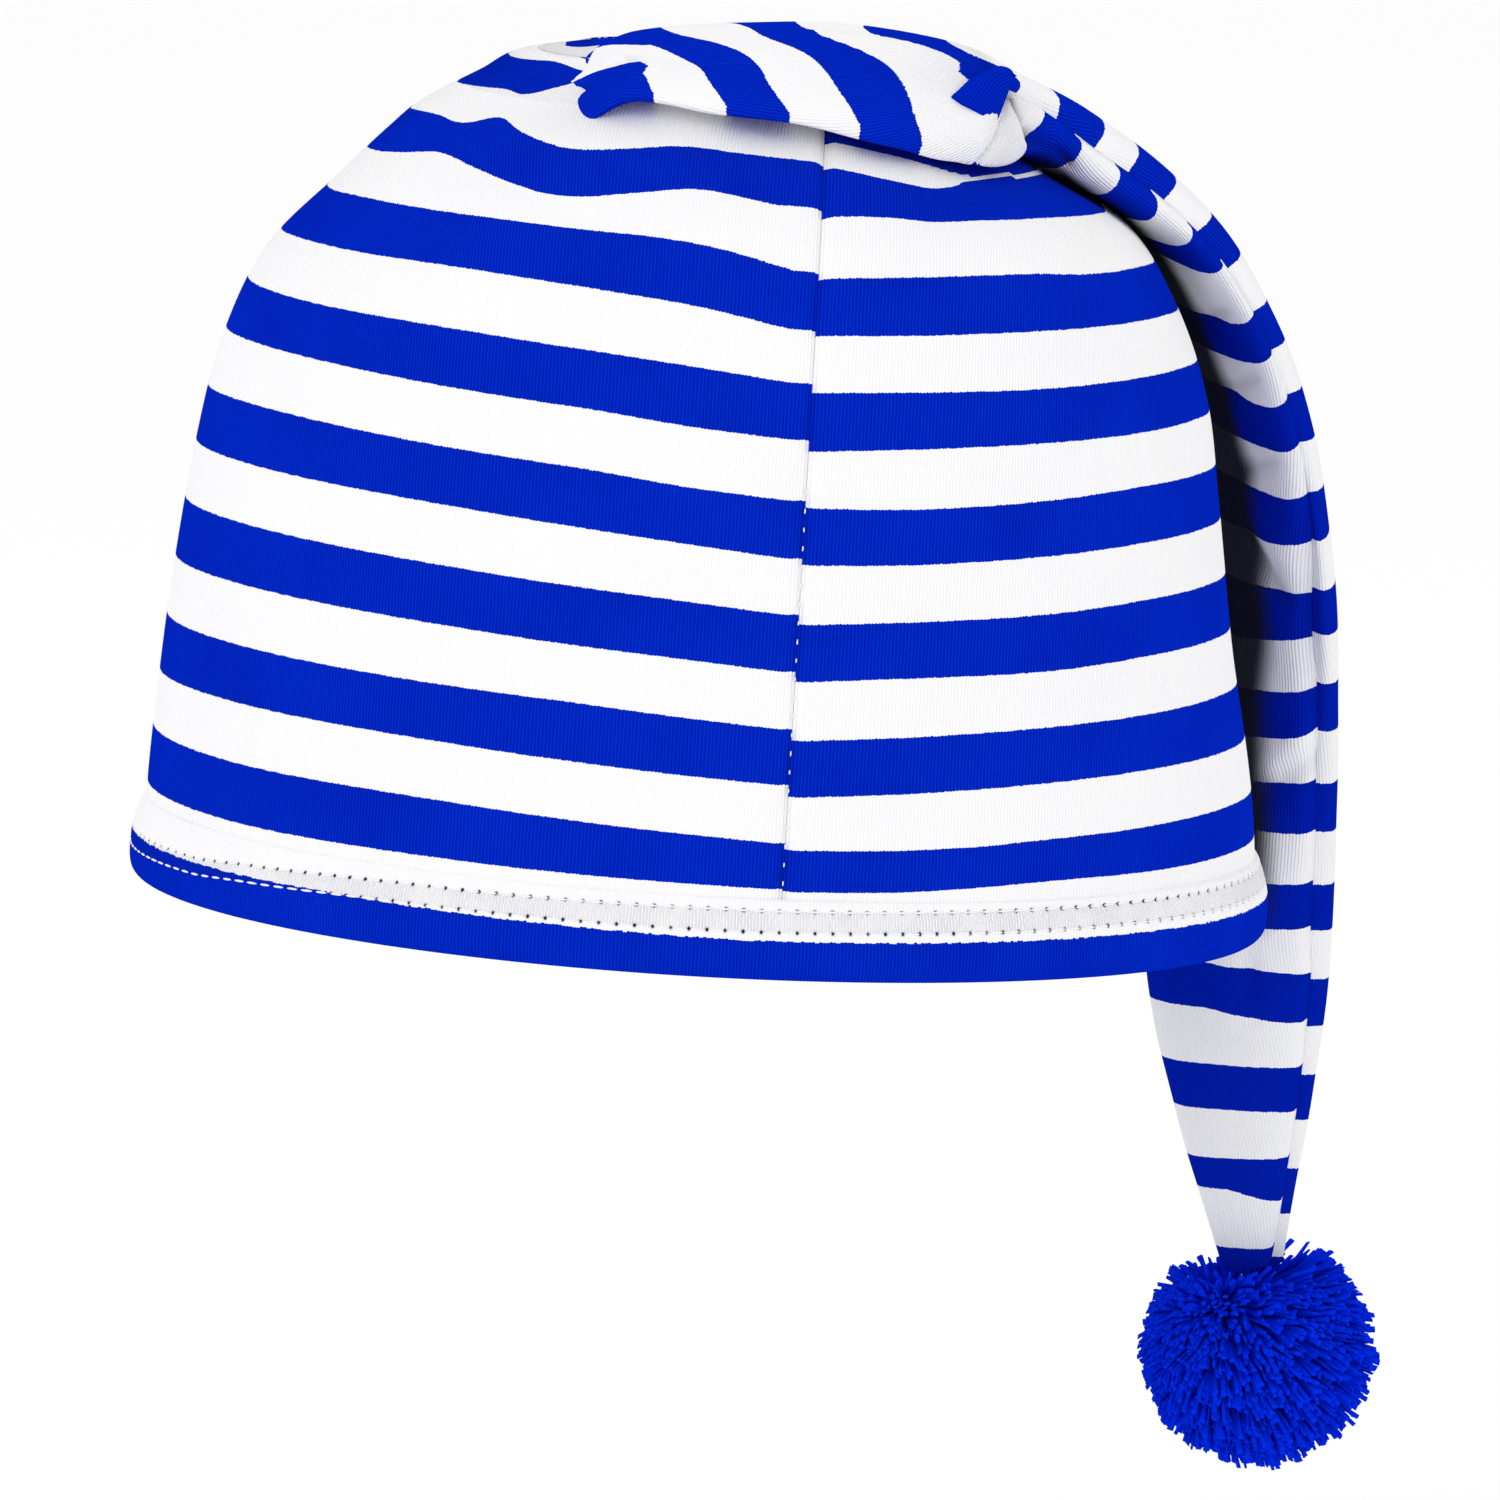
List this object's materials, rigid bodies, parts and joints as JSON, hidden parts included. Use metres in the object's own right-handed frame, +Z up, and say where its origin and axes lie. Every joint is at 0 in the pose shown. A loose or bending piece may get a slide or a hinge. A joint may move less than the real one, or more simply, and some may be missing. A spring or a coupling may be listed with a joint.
{
  "type": "nightcap",
  "caption": "Striped jersey nightcap as worn, with a rounded crown, a turned hem, a long peak folded over to one side and a hanging tail that ends in a yarn pompom.",
  "frame": {"origin": "middle of the opening at the hem's lower edge, where a head enters", "axes": "+Z up as worn, the front seam towards -Y, the tail hangs at +X"},
  "size_m": [0.2225, 0.158, 0.2688],
  "materials": {
    "left_jersey": "fine ribbed cotton jersey, royal blue and white stripes",
    "right_jersey": "fine ribbed cotton jersey, royal blue and white stripes",
    "hem_jersey": "doubled cotton jersey, white with a royal blue edge",
    "pompom_yarn": "matte royal blue yarn"
  },
  "bodies": {
    "root": {"left_panel": "left_jersey", "right_panel": "right_jersey", "hem_band": "hem_jersey", "pompom": "pompom_yarn"}
  },
  "joints": []
}
